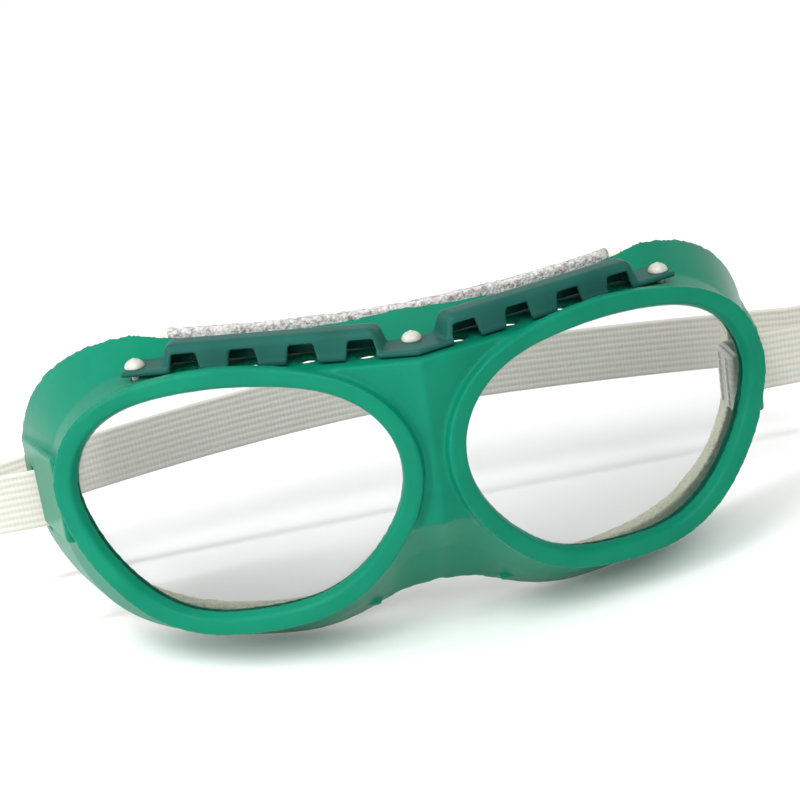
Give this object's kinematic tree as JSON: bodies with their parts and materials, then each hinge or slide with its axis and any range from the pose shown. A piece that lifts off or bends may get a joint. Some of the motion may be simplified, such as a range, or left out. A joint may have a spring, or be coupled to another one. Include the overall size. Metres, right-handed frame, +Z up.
{
  "type": "welding goggles",
  "caption": "Soft moulded welding goggles with round clear lenses, a hooded vent cover on top, a foam edge and an elastic head band.",
  "frame": {"origin": "middle of the face opening on the surface that meets the face, level with the lens centres", "axes": "+Z up, +Y from the lenses towards the wearer's head, +X towards the wearer's left"},
  "size_m": [0.2494, 0.0906, 0.0791],
  "materials": {
    "green_pvc": "soft moulded PVC, satin",
    "dark_pvc": "soft moulded PVC, satin",
    "clear_lens": "clear, polished",
    "white_plastic": "moulded, slightly glossy",
    "grey_foam": "open-cell foam, speckled",
    "cream_foam": "open-cell foam",
    "elastic_web": "woven elastic",
    "thread": "sewing thread"
  },
  "bodies": {
    "frame": {"frame_body": "green_pvc", "lens_left": "clear_lens", "lens_right": "clear_lens", "vent_cover": "dark_pvc", "vent_stud_left": "white_plastic", "vent_stud_centre": "white_plastic", "vent_stud_right": "white_plastic", "foam_brow": "grey_foam", "foam_cheek_left": "cream_foam", "foam_cheek_right": "cream_foam", "strap_end_left": "elastic_web", "strap_end_right": "elastic_web", "strap_stitching_left": "thread", "strap_stitching_right": "thread"},
    "strap": {"strap_loop": "elastic_web"}
  },
  "joints": [
    {"name": "strap_swing", "type": "hinge", "parent": "frame", "child": "strap", "pos_m": [0, 0.032, -0.0082], "axis": [1, 0, 0], "range_deg": [-35, 50]}
  ]
}
